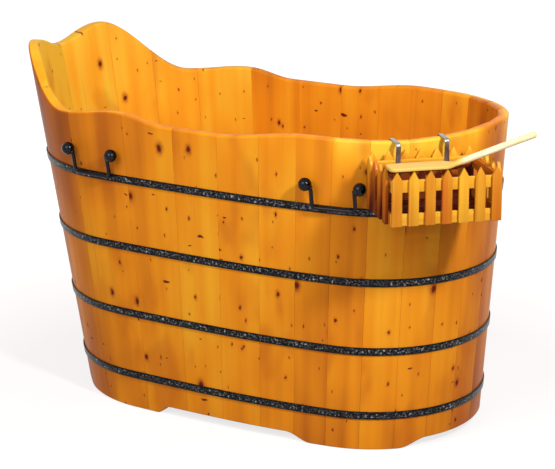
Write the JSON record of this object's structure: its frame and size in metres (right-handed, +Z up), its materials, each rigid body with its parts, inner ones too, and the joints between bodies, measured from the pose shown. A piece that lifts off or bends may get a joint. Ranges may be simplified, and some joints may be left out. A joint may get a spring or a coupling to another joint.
{
  "type": "wooden bathtub",
  "caption": "Oval soaking tub of upright wooden staves and iron hoops with a raised leaning head end, double ball hooks, a picket basket hung on the rim and a ladle.",
  "frame": {"origin": "on the ground, midway along and across the whole set with its basket, ladle and hooks", "axes": "+Z up, +X along the tub from the raised head end to the foot end, +Y towards the side away from the basket"},
  "size_m": [1.5188, 0.8354, 0.9079],
  "materials": {
    "stave_wood": "golden orange knotty softwood under clear lacquer",
    "floor_wood": "planed golden softwood under clear lacquer",
    "basket_wood": "lacquered softwood slats",
    "ladle_wood": "pale raw sanded wood",
    "hoop_iron": "hammered blue-black iron",
    "hook_iron": "polished gunmetal",
    "screw_steel": "plain steel",
    "drain_steel": "brushed stainless steel",
    "seal_rubber": "black rubber",
    "stopper_rubber": "dark rubber",
    "strap_chrome": "bright chrome"
  },
  "bodies": {
    "tub": {"stave_1": "stave_wood", "stave_2": "stave_wood", "stave_3": "stave_wood", "stave_4": "stave_wood", "stave_5": "stave_wood", "stave_6": "stave_wood", "stave_7": "stave_wood", "stave_8": "stave_wood", "stave_9": "stave_wood", "stave_10": "stave_wood", "stave_11": "stave_wood", "stave_12": "stave_wood", "stave_13": "stave_wood", "stave_14": "stave_wood", "stave_15": "stave_wood", "stave_16": "stave_wood", "stave_17": "stave_wood", "stave_18": "stave_wood", "stave_19": "stave_wood", "stave_20": "stave_wood", "stave_21": "stave_wood", "stave_22": "stave_wood", "stave_23": "stave_wood", "stave_24": "stave_wood", "stave_25": "stave_wood", "stave_26": "stave_wood", "stave_27": "stave_wood", "stave_28": "stave_wood", "hoop_1": "hoop_iron", "hoop_2": "hoop_iron", "hoop_3": "hoop_iron", "hoop_4": "hoop_iron", "hoop_laps": "hoop_iron", "hoop_rivets": "hoop_iron", "double_hook_1": "hook_iron", "double_hook_2": "hook_iron", "double_hook_3": "hook_iron", "double_hook_4": "hook_iron", "floor_board_1": "floor_wood", "floor_board_2": "floor_wood", "floor_board_3": "floor_wood", "floor_board_4": "floor_wood", "floor_board_5": "floor_wood", "batten_head": "floor_wood", "batten_foot": "floor_wood", "batten_screws": "screw_steel", "drain_body": "drain_steel", "drain_seal": "seal_rubber", "drain_nut": "drain_steel"},
    "basket": {"basket_front_pickets": "basket_wood", "basket_back_pickets": "basket_wood", "basket_head_pickets": "basket_wood", "basket_foot_pickets": "basket_wood", "basket_upper_rails": "basket_wood", "basket_lower_rails": "basket_wood", "basket_bottom_slats": "basket_wood", "basket_hangers": "strap_chrome", "hanger_screws": "screw_steel"},
    "ladle": {"ladle": "ladle_wood"},
    "stopper": {"drain_stopper": "stopper_rubber"}
  },
  "joints": [
    {"name": "basket_lift", "type": "slide", "parent": "tub", "child": "basket", "axis": [0, 0, 1], "range_m": [0, 0.15]},
    {"name": "ladle_lift", "type": "slide", "parent": "basket", "child": "ladle", "axis": [0, 0, 1], "range_m": [0, 0.12]},
    {"name": "stopper_lift", "type": "slide", "parent": "tub", "child": "stopper", "axis": [0, 0, 1], "range_m": [0, 0.12]}
  ]
}
